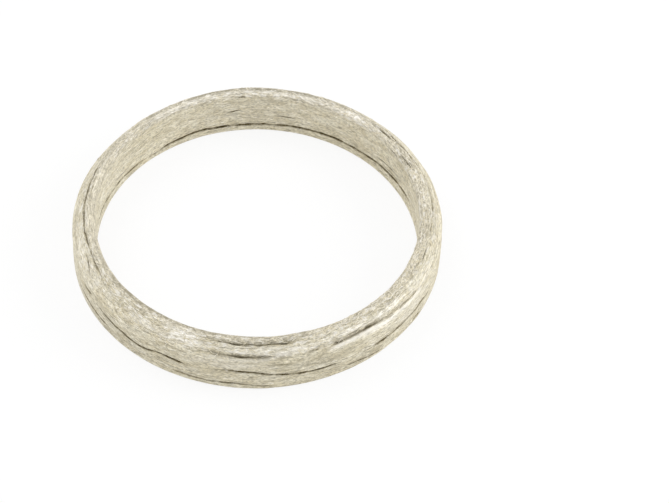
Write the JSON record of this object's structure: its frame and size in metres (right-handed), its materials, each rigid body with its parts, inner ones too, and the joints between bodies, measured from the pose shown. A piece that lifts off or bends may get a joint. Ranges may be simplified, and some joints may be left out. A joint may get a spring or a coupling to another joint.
{
  "type": "gasket ring",
  "caption": "Low round gasket ring of compressed knitted wire mesh, with a plain bore, a flat base and a spherical seat, for a sealed pipe joint.",
  "frame": {"origin": "centre of the bore in the plane of the flat base", "axes": "+Z along the bore, from the base towards the crown; -Y faces the viewer of the picture and +X is on the viewer's right"},
  "size_m": [0.073, 0.073, 0.011],
  "materials": {
    "pressed_mesh": "dry pressed steel wire mesh with a pale mica filler, fine grained and satin"
  },
  "bodies": {
    "root": {"gasket_ring": "pressed_mesh"}
  },
  "joints": []
}
